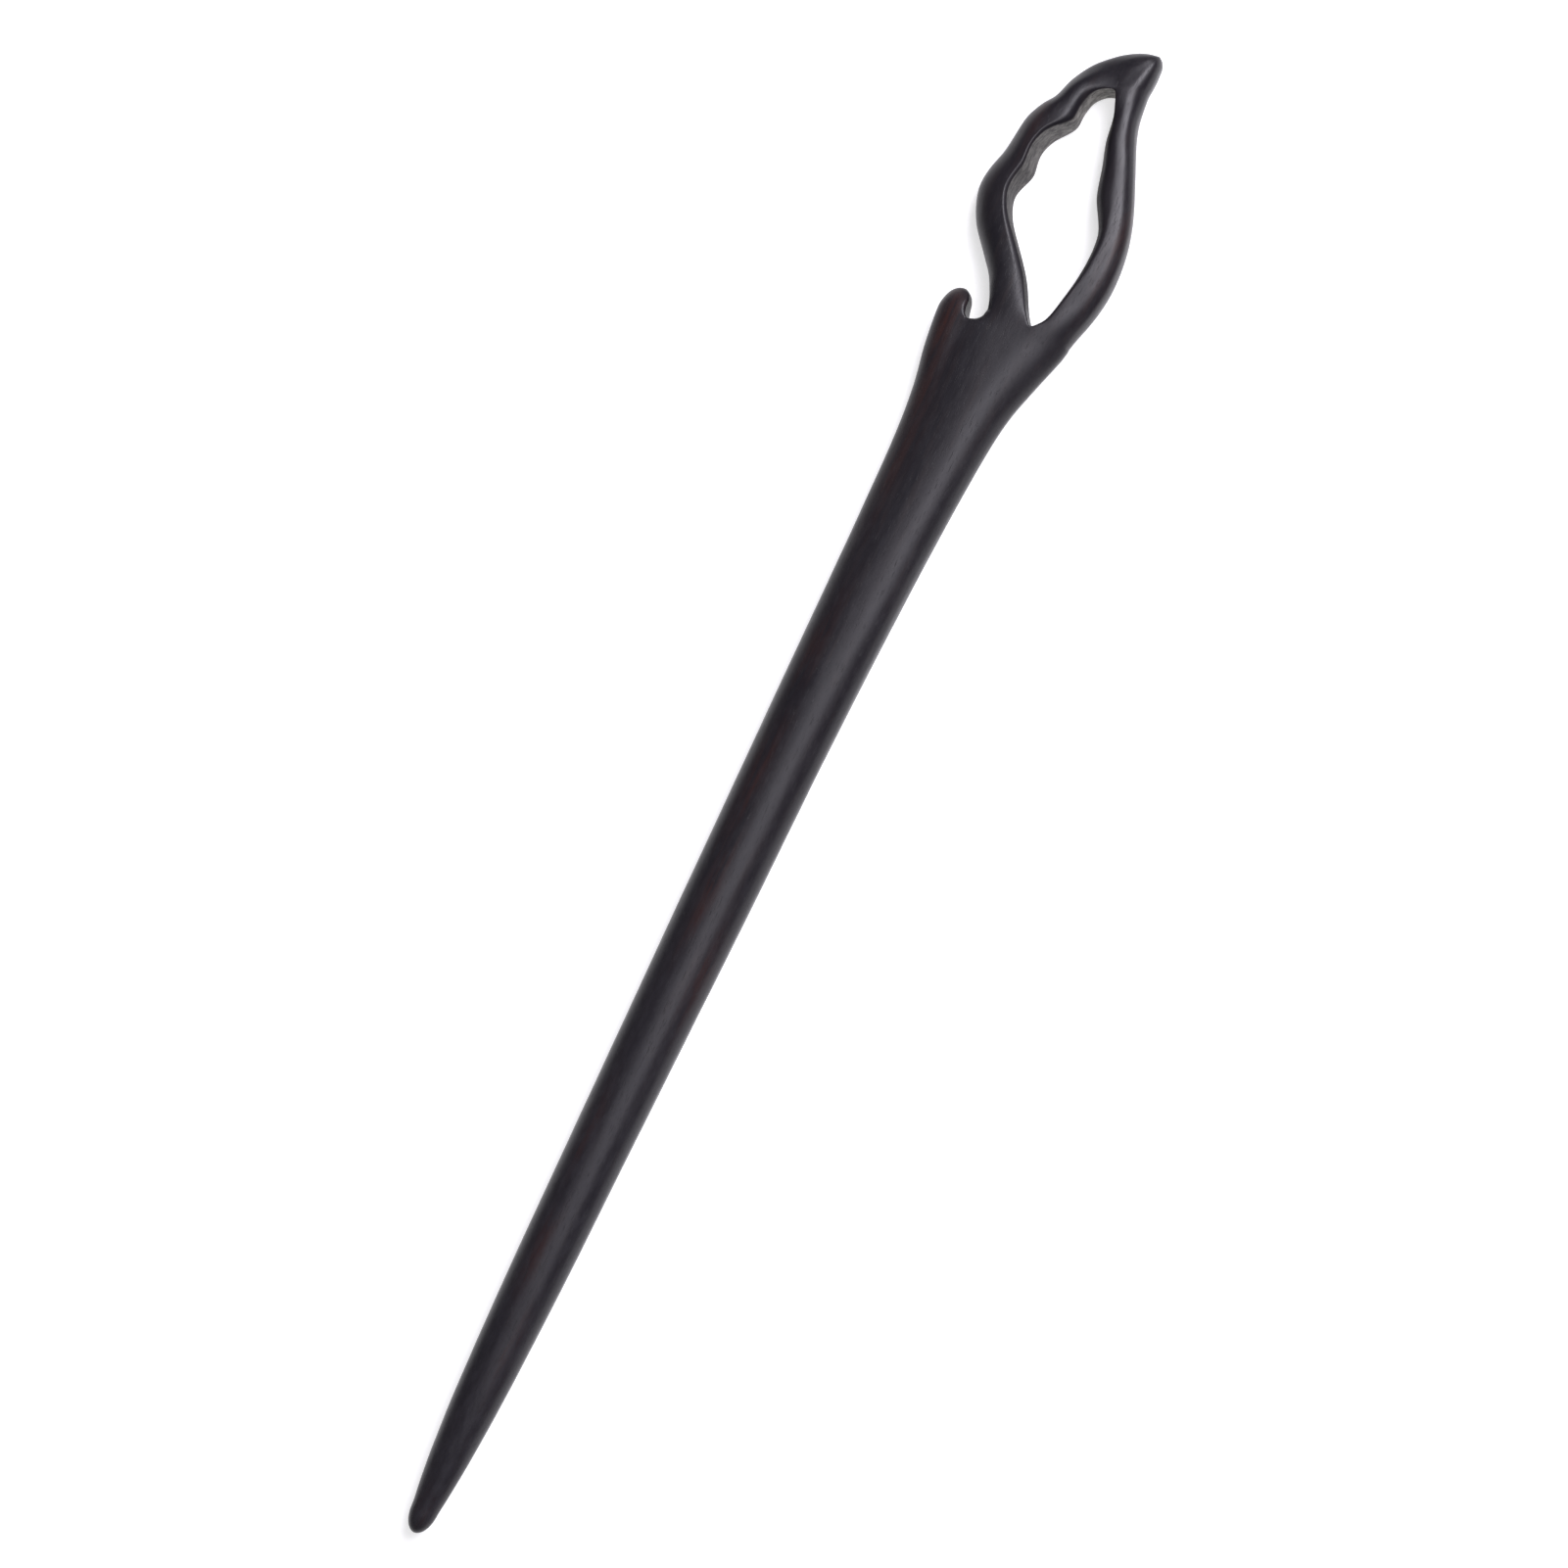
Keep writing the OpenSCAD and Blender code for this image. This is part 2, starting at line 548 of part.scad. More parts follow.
function right_led(row, k) =
    let(rung = strand_rung(row, right_root_w))
    strand_led(right_ring(row), rung, right_roots, k, strand_last(RIGHT), RIGHT_EASE);

left_rings = [for (k = [1:strand_last(LEFT) - 1]) left_led(smooth(LEFT, k / STRAND_STEPS), k)];
right_rings = [for (k = [1:strand_last(RIGHT) - 1]) right_led(smooth(RIGHT, k / STRAND_STEPS), k)];

// The middle of the stick's width, between the two strands at their widest
middle_y = (
    max([for (r = left_rings) for (p = r[2]) p[1]]) + min([for (r = right_rings) for (p = r[0]) p[1]])
) / 2;

// Skin of a row of loops with the same number of points, from the point with the number first
function skin(loops, first) =
    let(n = len(loops[0]))
    [
        for (i = [0:len(loops) - 2])
            for (j = [0:n - 1])
                let(
                    a = first + i * n + j,
                    b = first + i * n + (j + 1) % n
                )
                each [[a, a + n, b + n], [a, b + n, b]]
    ];

// Fan from a single point to a loop. way is 1 where the loop comes after the point.
function fan(tip, first, n, way) =
    [
        for (j = [0:n - 1])
            let(a = first + j, b = first + (j + 1) % n)
            way > 0 ? [tip, a, b] : [a, tip, b]
    ];

function flat(lists) = [for (l = lists) each l];

module hair_stick() {
    trunk = [for (r = concat(tip_rings, trunk_rings)) loop(r)];
    hook = [for (r = concat([hook_root], hook_rings)) loop(r)];
    fork = [for (r = concat([fork_root], fork_rings)) loop(r)];
    left = [for (r = concat([left_roots[0]], left_rings, [left_roots[2]])) loop(r)];
    right = [for (r = concat([right_roots[0]], right_rings, [right_roots[2]])) loop(r)];
    end = [for (r = end_rings) loop(r)];
    limbs = [for (l = [trunk, hook, fork, left, right, end]) flat(l)];
    hook_first = len(limbs[0]);
    fork_first = hook_first + len(limbs[1]);
    left_first = fork_first + len(limbs[2]);
    right_first = left_first + len(limbs[3]);
    end_first = right_first + len(limbs[4]);
    tips_first = end_first + len(limbs[5]);
    color(WOOD)
        translate([-total_l / 2, -middle_y, 0])
        polyhedron(
            points = concat(flat(limbs), [tip_point, hook_point, end_point]),
            faces = concat(
                skin(trunk, 0),
                skin(hook, hook_first),
                skin(fork, fork_first),
                skin(left, left_first),
                skin(right, right_first),
                skin(end, end_first),
                fan(tips_first, 0, len(trunk[0]), 1),
                fan(tips_first + 1, fork_first - len(hook[0]), len(hook[0]), -1),
                fan(tips_first + 2, tips_first - len(end[0]), len(end[0]), -1)
            ),
            convexity = 6
        );
}

hair_stick();
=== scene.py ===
"""Hair stick carved from one piece of dark wood, on a pale studio floor. Lengths are in metres.

The stick lies along X with its pierced head at +X. Its visible surface is made from the frame's own
faceted solid: the facets are subdivided into one smooth surface that passes through their corners,
the faces around the fork are rubbed smooth, and the whole gets the unevenness of hand carving.
"""
import math

import bmesh
import bpy
import numpy as np
from mathutils import Matrix, Vector, noise


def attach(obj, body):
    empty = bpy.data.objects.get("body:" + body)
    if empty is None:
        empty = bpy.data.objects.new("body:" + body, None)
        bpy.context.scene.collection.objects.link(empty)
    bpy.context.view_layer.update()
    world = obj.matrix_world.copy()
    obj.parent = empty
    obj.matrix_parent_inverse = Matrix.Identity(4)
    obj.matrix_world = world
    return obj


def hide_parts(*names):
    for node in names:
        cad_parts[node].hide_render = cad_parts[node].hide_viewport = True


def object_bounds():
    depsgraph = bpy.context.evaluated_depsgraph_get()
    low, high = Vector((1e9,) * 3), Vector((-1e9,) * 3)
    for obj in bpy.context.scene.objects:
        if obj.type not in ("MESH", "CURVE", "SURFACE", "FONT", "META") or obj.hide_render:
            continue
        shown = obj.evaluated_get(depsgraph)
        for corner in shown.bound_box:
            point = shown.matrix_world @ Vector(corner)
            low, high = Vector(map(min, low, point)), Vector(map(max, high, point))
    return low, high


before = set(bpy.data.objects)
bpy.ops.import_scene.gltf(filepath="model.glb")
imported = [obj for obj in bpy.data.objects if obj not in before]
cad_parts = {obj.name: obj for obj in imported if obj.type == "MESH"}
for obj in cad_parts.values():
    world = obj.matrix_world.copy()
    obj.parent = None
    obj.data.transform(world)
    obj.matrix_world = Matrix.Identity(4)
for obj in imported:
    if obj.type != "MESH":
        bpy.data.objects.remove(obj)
cad_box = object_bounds()

MM = 0.001
WHITE = (1, 1, 1, 1)

# Camera: it looks down on the stick, tilted a little towards -Y, and turned about its own line of
# sight so that the head points up and to the right in the picture
CAMERA_TARGET = (1.0 * MM, -0.044 * MM, 2.9 * MM)
CAMERA_DISTANCE = 480 * MM
CAMERA_TILT = math.radians(9)
CAMERA_TURN = math.radians(25.68)
CAMERA_NEAREST = 0.01
CAMERA_FARTHEST = 10
VIEW_WIDTH = 170.8 * MM

# Studio
FLOOR_HALF = 1.5
FLOOR_COLOUR = (0.62, 0.62, 0.62, 1)
FLOOR_ROUGHNESS = 0.9
FLOOR_GLOW = 0.60
WORLD_STRENGTH = 0.10
LIGHT_COLOUR = (0.99, 0.965, 1.05)
LIGHTS = [
    # name, place, length and width, power
    ("softbox", (0.39, -0.17, 0.56), (0.54, 0.34), 7.05),
    ("fill", (-0.05, -0.20, 0.75), (0.23, 0.60), 1.52),
]

# Smooth surface. A corner moves out by no more than FAIRING_REACH of its shortest edge.
WELD = 0.001 * MM
QUAD_ANGLE = math.radians(60)
SUBDIVISIONS = 2
FAIRINGS = 2
FAIRING_REACH = 0.3

# Places on the stick are measured from its tip along X and from its shaft's axis towards +Y
SHAFT_AXIS = 1.009 * MM

# The stretch around the fork over which the flat faces are rubbed smooth, the length over which
# that eases off, and how far the rubbing reaches, all in mm
RUBBED_FROM = 144.0
RUBBED_TO = 150.5
RUBBED_EASE = 2.5
RUBBED_REACH = 0.7
# How far up a normal points where a face stops being flat and where it is wholly flat. Past
# OUTER_FROM to OUTER_TO mm towards -Y, where the side rounds off slowly, OUTER_FLAT takes its place.
FLAT = (0.80, 0.94)
OUTER_FROM = 5.5
OUTER_TO = 7.0
OUTER_FLAT = (0.35, 0.60)
# Vertices worked out at a time
BATCH = 400

# Hand carving: the height of its slow and its short waves, and their lengths along and across
CARVING = [
    # height, along, across
    (0.030 * MM, 14 * MM, 3.5 * MM),
    (0.012 * MM, 3.5 * MM, 1.2 * MM),
]

# The stretch of the hole from the tip, the length over which its marks begin, and a point inside it
HOLE_FROM = 148.0 * MM
HOLE_TO = 176.0 * MM
HOLE_EASE = 2 * MM
HOLE_MIDDLE = (70 * MM, 0)
# How far up a normal points on a sawn wall of the hole and where the wall has ended
SAWN = (0.30, 0.60)
# The same on the hole's rims, which are left dull up to DULL_TO from the tip, and how dull they are
RIM = (0.94, 0.99)
DULL_TO = 166.0 * MM
RIM_DULLNESS = 0.65
# How many times the mark of rims and creases is spread to the next vertices
EDGE_BLUR = 3

# Colours of the wood
BLACK = (0.0092, 0.0083, 0.0112, 1)
BROWN_BLACK = (0.0132, 0.0114, 0.0142, 1)
BROWN = (0.0200, 0.0150, 0.0160, 1)
RED = (0.0310, 0.0122, 0.0108, 1)
GREY = (0.0205, 0.0190, 0.0235, 1)
PORE = (0.0030, 0.0026, 0.0030, 1)
RUBBED = (0.0240, 0.0210, 0.0230, 1)
# Pale colour of the hole's sawn walls: dust, and a painted reflection of the pale floor
PALE_DUST_AND_REFLECTION = (0.4000, 0.3850, 0.3550, 1)

# How much of a colour shows where its pattern or mark is full, or where it is empty and full
BROWN_SHARE = (0, 0.7)
RED_SHARE = 0.9
GREY_SHARE = (0.4, 1)
MOTTLE_SHARE = (0, 0.25)
PORE_SHARE = 0.6
RUBBED_SHARE = 0.15
# How much of the sawn walls' pale colour, dust and painted floor reflection, shows
DUST_AND_REFLECTION_SHARE = (0.30, 0.9)

# Patterns in the wood: streaks drawn out along the stick
GRAINS = {
    # length, width, detail, roughness, wander
    "figure": (38 * MM, 2.6 * MM, 3, 0.55, 0.4),
    "streaks": (9 * MM, 0.65 * MM, 4, 0.60, 0.5),
    "fine": (3 * MM, 0.11 * MM, 3, 0.60, 0.0),
    "mottle": (2.2 * MM, 0.7 * MM, 4, 0.65, 0.0),
    "pores": (1.3 * MM, 0.09 * MM, 1, 0.55, 0.0),
    # Patches of dust and painted floor reflection on the sawn walls, which also give them their
    # relief
    "dust_and_reflection": (1.3 * MM, 0.7 * MM, 4, 0.70, 0.0),
}

# The values of a pattern or mark between which it goes from empty to full, for each use of it
FIGURE_BAND = (0.35, 0.65)
BROWN_BAND = (0.52, 0.78)
RED_BAND = (0.34, 0.56)
GREY_BAND = (0.30, 0.65)
MOTTLE_BAND = (0.45, 0.75)
PORE_BAND = (0.64, 0.72)
RIM_BAND = (0.10, 0.55)
# Where the patches of dust and painted floor reflection on the sawn walls go from empty to full
DUST_AND_REFLECTION_BAND = (0.40, 0.62)
GLOSS_BAND = (0.3, 0.7)
WHOLE_BAND = (0, 1)

# Roughness of the wood, and what each pattern or mark adds to it where it is empty and full
ROUGHNESS = (0.30, 0.40)
FINE_ROUGHNESS = (-0.03, 0.04)
SHINE_ROUGHNESS = (0.20, 0)
PORE_ROUGHNESS = 0.15
RIM_ROUGHNESS = -0.04
SAWN_ROUGHNESS = 0.28
SPECULAR_LEVEL = 0.30

# Fine relief of the wood
FINE_RELIEF = 0.35
STREAK_RELIEF = 0.6
PORE_RELIEF = -1
SAWN_RELIEF = 3.0
BUMP_STRENGTH = 0.35
BUMP_DEPTH = 0.02 * MM

# How shiny and how greyed by wear the wood is, and how pale its sawn walls are painted with dust and
# a painted reflection of the pale floor
WEAR_AND_REFLECTION = [
    # x, shine, grey, dust and painted reflection
    (0 * MM, 1.00, 0.90, 0.00),
    (20 * MM, 1.00, 0.60, 0.00),
    (45 * MM, 1.00, 0.60, 0.00),
    (75 * MM, 0.98, 0.25, 0.00),
    (100 * MM, 1.00, 0.00, 0.00),
    (112 * MM, 0.82, 0.12, 0.00),
    (130 * MM, 0.66, 0.00, 0.00),
    (141 * MM, 0.64, 0.00, 0.00),
    (148 * MM, 0.78, 0.00, 0.08),
    (157 * MM, 1.00, 0.00, 0.24),
    (163 * MM, 1.00, 0.00, 0.32),
    (168 * MM, 1.00, 0.00, 0.55),
    (174 * MM, 1.00, 0.00, 1.00),
]

# Reddish places in the wood, in mm
REDDISH = [
    # x, y, half length, half width, strength
    (2.0, 0.0, 3.0, 1.5, 0.5),
    (23.0, -1.2, 4.0, 0.8, 0.7),
    (34.0, 0.6, 4.5, 0.8, 0.9),
    (48.0, 1.3, 5.0, 0.7, 0.6),
    (68.0, -2.3, 5.0, 0.8, 0.8),
    (77.0, 0.6, 6.0, 0.8, 0.9),
    (90.0, 1.6, 7.0, 0.9, 0.8),
    (107.0, 1.9, 6.0, 1.0, 0.5),
    (128.0, 2.8, 8.0, 1.0, 0.5),
    (137.0, 3.6, 6.0, 1.0, 0.6),
    (144.0, 4.8, 4.0, 1.3, 1.0),
    (159.0, -8.6, 7.0, 0.7, 0.6),
    (171.0, 5.4, 6.0, 0.8, 0.5),
]


def add_object(name, data):
    """A new object in the scene."""
    thing = bpy.data.objects.new(name, data)
    bpy.context.scene.collection.objects.link(thing)
    return thing


def set_place(thing, place, side, up, back):
    """Puts a camera or light at a place, turned so that it looks away from its back."""
    turned = Matrix((side, up, back)).transposed().to_4x4()
    thing.matrix_world = Matrix.Translation(place) @ turned


def make_camera():
    """The camera, nearly straight above the stick."""
    look = Vector((0, math.sin(CAMERA_TILT), -math.cos(CAMERA_TILT)))
    across = Vector((0, math.cos(CAMERA_TILT), math.sin(CAMERA_TILT)))
    along = Vector((1, 0, 0))
    right = math.sin(CAMERA_TURN) * along - math.cos(CAMERA_TURN) * across
    up = math.cos(CAMERA_TURN) * along + math.sin(CAMERA_TURN) * across
    data = bpy.data.cameras.new("camera")
    data.angle = 2 * math.atan(VIEW_WIDTH / 2 / CAMERA_DISTANCE)
    data.clip_start = CAMERA_NEAREST
    data.clip_end = CAMERA_FARTHEST
    camera = add_object("camera", data)
    set_place(camera, Vector(CAMERA_TARGET) - CAMERA_DISTANCE * look, right, up, -look)
    bpy.context.scene.camera = camera


def make_floor():
    """A pale, plain floor that is lit evenly."""
    mesh = bpy.data.meshes.new("floor")
    h = FLOOR_HALF
    mesh.from_pydata([(-h, -h, 0), (h, -h, 0), (h, h, 0), (-h, h, 0)], [], [(0, 1, 2, 3)])
    material = bpy.data.materials.new("floor")
    material.use_nodes = True
    sockets = material.node_tree.nodes["Principled BSDF"].inputs
    sockets["Base Color"].default_value = FLOOR_COLOUR
    sockets["Roughness"].default_value = FLOOR_ROUGHNESS
    sockets["Emission Color"].default_value = WHITE
    sockets["Emission Strength"].default_value = FLOOR_GLOW
    mesh.materials.append(material)
    add_object("floor", mesh)


def make_light(name, place, size, power):
    """A rectangular softbox that faces the stick, with its length along X."""
    data = bpy.data.lights.new(name, "AREA")
    data.shape = "RECTANGLE"
    data.size, data.size_y = size
    data.energy = power
    data.color = LIGHT_COLOUR
    back = Vector(place).normalized()
    up = back.cross(Vector((1, 0, 0))).normalized()
    set_place(add_object(name, data), Vector(place), up.cross(back), up, back)


def make_studio():
    """The floor, a faint light from all round, and two softboxes, the stronger over the head."""
    make_floor()
    world = bpy.data.worlds.new("studio")
    world.use_nodes = True
    sockets = world.node_tree.nodes["Background"].inputs
    sockets["Color"].default_value = WHITE
    sockets["Strength"].default_value = WORLD_STRENGTH
    bpy.context.scene.world = world
    bpy.context.scene.view_settings.view_transform = "Standard"
    for light in LIGHTS:
        make_light(*light)


def places(mesh):
    """The places of a mesh's vertices, a row for each."""
    flat = np.empty(len(mesh.vertices) * 3)
    mesh.vertices.foreach_get("co", flat)
    return flat.reshape(-1, 3)


def normals(mesh):
    """The normals of a mesh's vertices, a row for each."""
    flat = np.empty(len(mesh.vertices) * 3)
    mesh.vertex_normals.foreach_get("vector", flat)
    return flat.reshape(-1, 3)


def set_places(mesh, at):
    """Moves a mesh's vertices."""
    mesh.vertices.foreach_set("co", at.ravel())
    mesh.update()


def on_stick(mesh):
    """The places of a mesh's vertices in mm, from the stick's tip and its shaft's axis."""
    return (places(mesh) - (cad_box[0].x, SHAFT_AXIS, 0)) / MM


def neighbours(mesh):
    """The two ends of every edge, and how many neighbours each vertex has."""
    ends = np.empty(len(mesh.edges) * 2, int)
    mesh.edges.foreach_get("vertices", ends)
    return ends[0::2], ends[1::2], np.bincount(ends)


def around(values, a, b, count):
    """The mean of each vertex's neighbours."""
    total = np.bincount(a, values[b], len(values)) + np.bincount(b, values[a], len(values))
    return total / count


def face_areas(mesh):
    """The area in square mm of the faces around each vertex. Every face has four corners."""
    corners = np.empty(len(mesh.loops), int)
    mesh.loops.foreach_get("vertex_index", corners)
    areas = np.empty(len(mesh.polygons))
    mesh.polygons.foreach_get("area", areas)
    return np.bincount(corners, np.repeat(areas, 4)) / MM**2


def step_share(values, low, high):
    """0 below low, 1 above high and a smooth step between."""
    share = np.clip((values - low) / (high - low), 0, 1)
    return share * share * (3 - 2 * share)


def subdivided(coarse):
    """A smoothly subdivided copy of a mesh."""
    piece = add_object("coarse", coarse)
    modifier = piece.modifiers.new("subdivide", "SUBSURF")
    modifier.levels = SUBDIVISIONS
    modifier.render_levels = SUBDIVISIONS
    graph = bpy.context.evaluated_depsgraph_get()
    mesh = bpy.data.meshes.new_from_object(piece.evaluated_get(graph))
    bpy.data.objects.remove(piece)
    return mesh


def coarse_mesh(node):
    """A node's facets, with pairs of triangles joined into faces of four corners."""
    bm = bmesh.new()
    bm.from_mesh(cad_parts[node].data)
    bmesh.ops.remove_doubles(bm, verts=bm.verts, dist=WELD)
    bmesh.ops.join_triangles(
        bm, faces=bm.faces, angle_face_threshold=QUAD_ANGLE, angle_shape_threshold=QUAD_ANGLE
    )
    coarse = bpy.data.meshes.new("coarse")
    bm.to_mesh(coarse)
    bm.free()
    return coarse


def smooth_mesh(node):
    """The smooth surface through the corners of a node's facets.

    Subdivision draws a surface in from its corners, so the corners are first moved out by as much,
    but never so far that two rows of them fold over one another.
    """
    coarse = coarse_mesh(node)
    corners = places(coarse)
    a, b, _ = neighbours(coarse)
    reach = np.linalg.norm(corners[a] - corners[b], axis=1) * FAIRING_REACH
    most = np.full(len(corners), reach.max())
    np.minimum.at(most, a, reach)
    np.minimum.at(most, b, reach)
    for _ in range(FAIRINGS):
        drawn_in = subdivided(coarse)
        moves = places(coarse) - places(drawn_in)[: len(corners)]
        far = np.linalg.norm(moves, axis=1)
        moves *= (most / np.maximum(far, most))[:, None]
        set_places(coarse, corners + moves)
        bpy.data.meshes.remove(drawn_in)
    mesh = subdivided(coarse)
    bpy.data.meshes.remove(coarse)
    mesh.materials.clear()
    return mesh


def rub_fork_smooth(mesh):
    """The flat faces around the fork, rubbed until their heights flow into one another.

    Each vertex gets the height of a curved surface fitted to the vertices that lie near it on the
    same face, the top or the underside.
    """
    x, y, z = on_stick(mesh).T
    up = normals(mesh)[:, 2]
    outer = step_share(-y, OUTER_FROM, OUTER_TO)
    low, high = (inner + (past - inner) * outer for inner, past in zip(FLAT, OUTER_FLAT))
    flat = step_share(np.abs(up), low, high)
    share = flat * step_share(x, RUBBED_FROM - RUBBED_EASE, RUBBED_FROM)
    share *= 1 - step_share(x, RUBBED_TO, RUBBED_TO + RUBBED_EASE)
    weight = flat * face_areas(mesh)
    margin = RUBBED_EASE + 3 * RUBBED_REACH
    near = (x > RUBBED_FROM - margin) & (x < RUBBED_TO + margin) & (weight > 0)
    away = x - RUBBED_FROM
    terms = np.stack([np.ones(len(x)), away, y, away**2, away * y, y**2], 1)
    size = terms.shape[1]
    for face in (up > 0, up < 0):
        data = np.flatnonzero(near & face)
        products = (terms[data, :, None] * terms[data, None, :]).reshape(len(data), -1)
        heights = terms[data] * z[data, None]
        moved = np.flatnonzero((share > 0) & face)
        for some in np.array_split(moved, len(moved) // BATCH + 1):
            apart = (x[some, None] - x[data]) ** 2 + (y[some, None] - y[data]) ** 2
            pull = weight[data] * np.exp(-apart / (2 * RUBBED_REACH**2))
            squares = (pull @ products).reshape(len(some), size, size)
            fit = np.linalg.solve(squares, (pull @ heights)[:, :, None])[:, :, 0]
            z[some] += share[some] * ((terms[some] * fit).sum(1) - z[some])
    at = places(mesh)
    at[:, 2] = z * MM
    set_places(mesh, at)


def carve_by_hand(mesh):
    """The slight unevenness that a knife and sandpaper leave. The stick still rests on z = 0."""
    at = places(mesh)
    out = normals(mesh)
    for i, (height, along, across) in enumerate(CARVING):
        spread = at / (along, across, across) + i
        waves = np.array([noise.noise(Vector(p)) for p in spread])
        at += height * waves[:, None] * out
    at[:, 2] = np.maximum(at[:, 2], 0)
    set_places(mesh, at)


def add_mark(mesh, name, values):
    """Keeps a number for each vertex, which the wood's material reads."""
    mesh.attributes.new(name, "FLOAT", "POINT").data.foreach_set("value", values)


def mark_reddish(mesh):
    """How reddish the wood is."""
    at = on_stick(mesh)
    reddish = np.zeros(len(at))
    for x, y, half_length, half_width, strength in REDDISH:
        away = ((at[:, 0] - x) / half_length) ** 2 + ((at[:, 1] - y) / half_width) ** 2
        reddish = np.maximum(reddish, strength * np.exp(-away))
    add_mark(mesh, "reddish", reddish)


def facing_hole(mesh):
    """Which vertices face the middle of the hole."""
    return ((HOLE_MIDDLE - places(mesh)[:, :2]) * normals(mesh)[:, :2]).sum(1) > 0


def mark_wear_and_reflection(mesh):
    """How shiny and how greyed the wood is, how sawn it is, and how pale its sawn walls are painted
    there with dust and a painted reflection of the floor.
    """
    along = places(mesh)[:, 0] - cad_box[0].x
    flat = np.abs(normals(mesh)[:, 2])
    inner = facing_hole(mesh)
    marks_along, *columns = zip(*WEAR_AND_REFLECTION)
    shine, grey, dust_and_reflection = (np.interp(along, marks_along, column) for column in columns)

    rim = (1 - step_share(flat, *RIM)) * inner
    rim *= step_share(along, HOLE_FROM - HOLE_EASE, HOLE_FROM + HOLE_EASE)
    rim *= 1 - step_share(along, DULL_TO - HOLE_EASE, DULL_TO + HOLE_EASE)
    sawn = inner * (1 - step_share(flat, *SAWN))
    sawn *= step_share(along, HOLE_FROM, HOLE_FROM + HOLE_EASE) * (along < HOLE_TO)
    add_mark(mesh, "shine", shine * (1 - RIM_DULLNESS * rim))
    add_mark(mesh, "grey", grey)
    add_mark(mesh, "sawn", sawn)
    # The sawn walls are painted pale: dust, and a painted reflection of the pale floor
    add_mark(mesh, "wall_dust_and_reflection", sawn * dust_and_reflection)


def mark_edges(mesh):
    """How much a vertex stands out from its neighbours: positive on a rim, negative in a crease."""
    at = places(mesh)
    out = normals(mesh)
    a, b, count = neighbours(mesh)
    way = at[b] - at[a]
    bend = way / (way * way).sum(1, keepdims=True)
    rise = np.bincount(a, (bend * out[a]).sum(1), len(at))
    rise -= np.bincount(b, (bend * out[b]).sum(1), len(at))
    curve = -rise / count * MM
    for _ in range(EDGE_BLUR):
        curve = (curve + around(curve, a, b, count)) / 2
    add_mark(mesh, "edge", np.clip(curve, -1, 1))


class Wood:
    """Adds the nodes of the wood's material, each linked to what feeds it."""

    def __init__(self, material):
        material.use_nodes = True
        self.tree = material.node_tree
        self.sockets = self.tree.nodes["Principled BSDF"].inputs
        self.place = self.tree.nodes.new("ShaderNodeTexCoord").outputs["Object"]

    def feed(self, socket, value):
        """Links a socket to another, or gives it a value."""
        if isinstance(value, bpy.types.NodeSocket):
            self.tree.links.new(value, socket)
        else:
            socket.default_value = value

    def node(self, kind, inputs):
        """A new node with its inputs fed, each by its name or number."""
        node = self.tree.nodes.new(kind)
        for name, value in inputs.items():
            self.feed(node.inputs[name], value)
        return node

    def grain(self, name):
        """A pattern in streaks drawn out along the stick."""
        length, width, detail, roughness, wander = GRAINS[name]
        scale = (1 / length, 1 / width, 1 / width)
        drawn = self.node("ShaderNodeMapping", {"Vector": self.place, "Scale": scale})
        pattern = {
            "Vector": drawn.outputs["Vector"],
            "Scale": 1,
            "Detail": detail,
            "Roughness": roughness,
            "Distortion": wander,
        }
        return self.node("ShaderNodeTexNoise", pattern).outputs[0]

    def mark(self, name):
        """The number kept for each vertex under a name."""
        node = self.tree.nodes.new("ShaderNodeAttribute")
        node.attribute_name = name
        return node.outputs["Fac"]

    def spread(self, value, band, to=(0, 1)):
        """What goes from to[0] to to[1] as a value goes through a band."""
        ends = {"From Min": band[0], "From Max": band[1], "To Min": to[0], "To Max": to[1]}
        return self.node("ShaderNodeMapRange", {"Value": value, **ends}).outputs["Result"]

    def math(self, operation, a, b):
        """A sum or product of two values."""
        node = self.node("ShaderNodeMath", {0: a, 1: b})
        node.operation = operation
        return node.outputs[0]

    def times(self, a, b):
        """The product of two values."""
        return self.math("MULTIPLY", a, b)

    def total(self, first, *others):
        """The sum of all the values."""
        for other in others:
            first = self.math("ADD", first, other)
        return first

    def blend(self, share, a, b):
        """A colour between two others."""
        node = self.tree.nodes.new("ShaderNodeMix")
        node.data_type = "RGBA"
        self.feed(node.inputs["Factor"], share)
        self.feed(node.inputs[6], a)
        self.feed(node.inputs[7], b)
        return node.outputs[2]


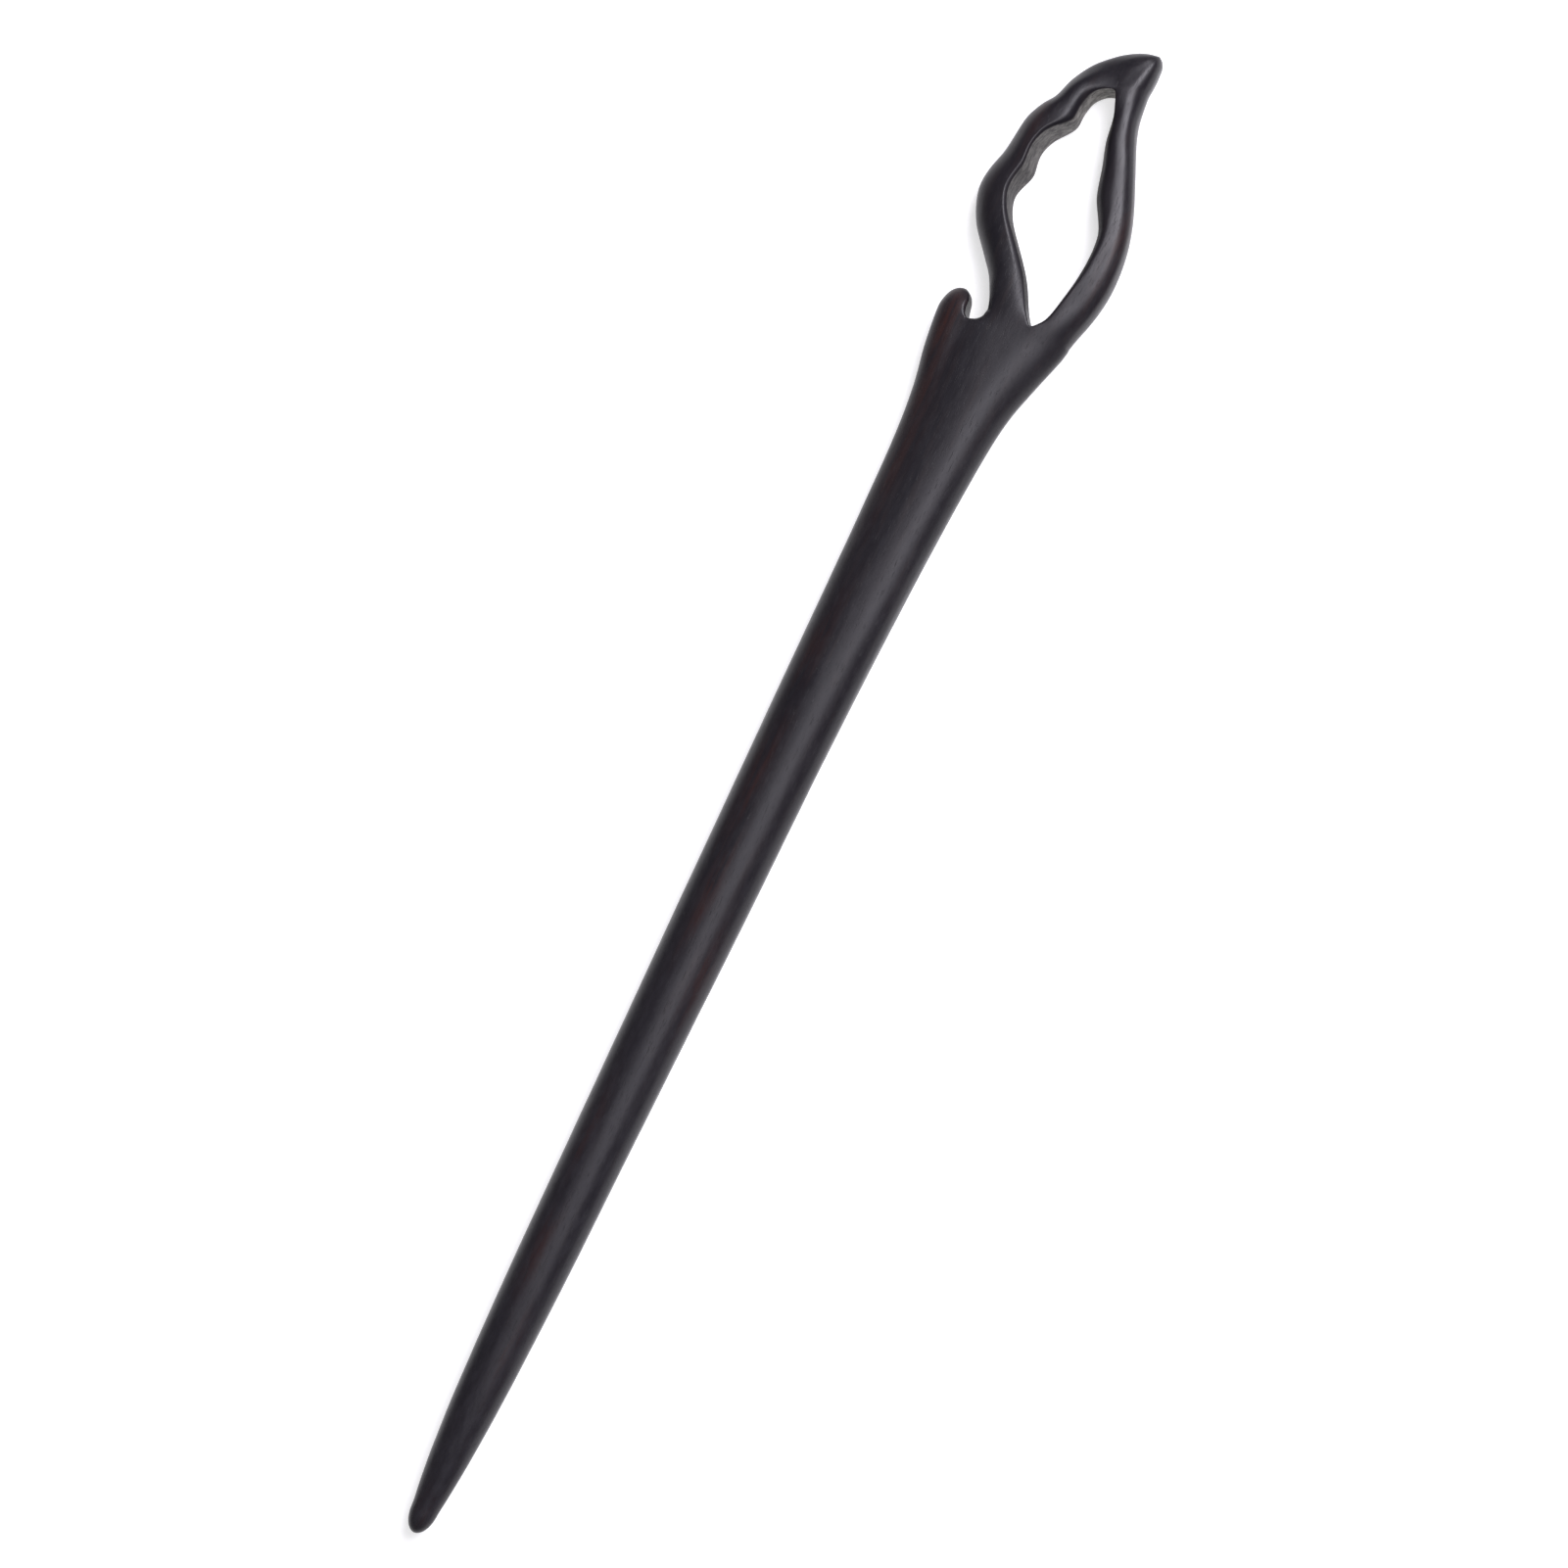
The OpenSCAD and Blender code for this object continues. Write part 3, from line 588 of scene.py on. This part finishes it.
def wood_material():
    """Polished ebony: nearly black, with brown and reddish streaks, open pores, rubbed rims, and
    sawn walls painted pale with dust and a painted reflection of the floor.
    """
    material = bpy.data.materials.new("dark_wood")
    wood = Wood(material)
    streaks = wood.grain("streaks")
    fine = wood.grain("fine")
    mottle = wood.grain("mottle")
    pores = wood.spread(wood.grain("pores"), PORE_BAND)
    dust_and_reflection = wood.spread(wood.grain("dust_and_reflection"), DUST_AND_REFLECTION_BAND)
    rims = wood.spread(wood.mark("edge"), RIM_BAND)
    sawn = wood.mark("sawn")
    red = wood.times(wood.mark("reddish"), wood.spread(streaks, RED_BAND))
    greyed = wood.times(wood.mark("grey"), wood.spread(mottle, GREY_BAND, GREY_SHARE))
    # Dust and a painted reflection of the pale floor on the sawn walls of the hole
    wall_dust_and_reflection = wood.times(wood.mark("wall_dust_and_reflection"), wood.spread(dust_and_reflection, WHOLE_BAND, DUST_AND_REFLECTION_SHARE))
    layers = [
        # share of the layer, its colour
        (wood.spread(streaks, BROWN_BAND, BROWN_SHARE), BROWN),
        (wood.times(red, RED_SHARE), RED),
        (wood.total(greyed, wood.spread(mottle, MOTTLE_BAND, MOTTLE_SHARE)), GREY),
        (wood.times(pores, PORE_SHARE), PORE),
        (wood.times(rims, RUBBED_SHARE), RUBBED),
        # pale dust and painted floor reflection on the sawn walls
        (wall_dust_and_reflection, PALE_DUST_AND_REFLECTION),
    ]
    colour = wood.blend(wood.spread(wood.grain("figure"), FIGURE_BAND), BLACK, BROWN_BLACK)
    for share, layer in layers:
        colour = wood.blend(share, colour, layer)
    wood.feed(wood.sockets["Base Color"], colour)

    roughness = wood.total(
        wood.spread(mottle, GLOSS_BAND, ROUGHNESS),
        wood.spread(fine, GLOSS_BAND, FINE_ROUGHNESS),
        wood.times(pores, PORE_ROUGHNESS),
        wood.times(rims, RIM_ROUGHNESS),
        wood.times(sawn, SAWN_ROUGHNESS),
        wood.spread(wood.mark("shine"), WHOLE_BAND, SHINE_ROUGHNESS),
    )
    wood.feed(wood.sockets["Roughness"], roughness)
    wood.feed(wood.sockets["Specular IOR Level"], SPECULAR_LEVEL)

    relief = wood.total(
        wood.times(fine, FINE_RELIEF),
        wood.times(pores, PORE_RELIEF),
        wood.times(streaks, STREAK_RELIEF),
        wood.times(wood.times(sawn, dust_and_reflection), SAWN_RELIEF),
    )
    bump = {"Height": relief, "Strength": BUMP_STRENGTH, "Distance": BUMP_DEPTH}
    wood.feed(wood.sockets["Normal"], wood.node("ShaderNodeBump", bump).outputs["Normal"])
    return material


def make_stick():
    """The carved stick, which stands for the faceted one."""
    mesh = smooth_mesh("hair_stick")
    rub_fork_smooth(mesh)
    carve_by_hand(mesh)
    mark_reddish(mesh)
    mark_wear_and_reflection(mesh)
    mark_edges(mesh)
    mesh.materials.append(wood_material())
    mesh.shade_smooth()
    stick = add_object("carved_stick", mesh)
    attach(stick, "root")
    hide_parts("hair_stick")


make_camera()
make_studio()
make_stick()
